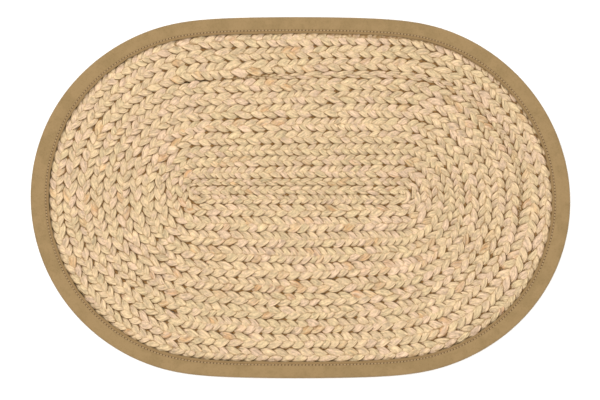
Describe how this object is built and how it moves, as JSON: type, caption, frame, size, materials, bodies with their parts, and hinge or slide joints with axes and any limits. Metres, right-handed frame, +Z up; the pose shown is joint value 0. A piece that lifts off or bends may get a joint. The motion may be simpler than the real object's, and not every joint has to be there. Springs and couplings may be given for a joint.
{
  "type": "placemat",
  "caption": "Oval placemat of flat braided banana fiber wound in a spiral, its rim bound with folded khaki cloth.",
  "frame": {"origin": "under the middle of the mat, on the surface it lies on", "axes": "+X along the long axis, +Y across the mat, +Z up out of the face that shows"},
  "size_m": [0.4504, 0.3016, 0.005],
  "materials": {
    "banana_fiber": "dry straw-coloured braid with a faint sheen",
    "binding_cloth": "matte khaki plain weave"
  },
  "bodies": {
    "root": {"braid_mat": "banana_fiber", "edge_binding": "binding_cloth"}
  },
  "joints": []
}
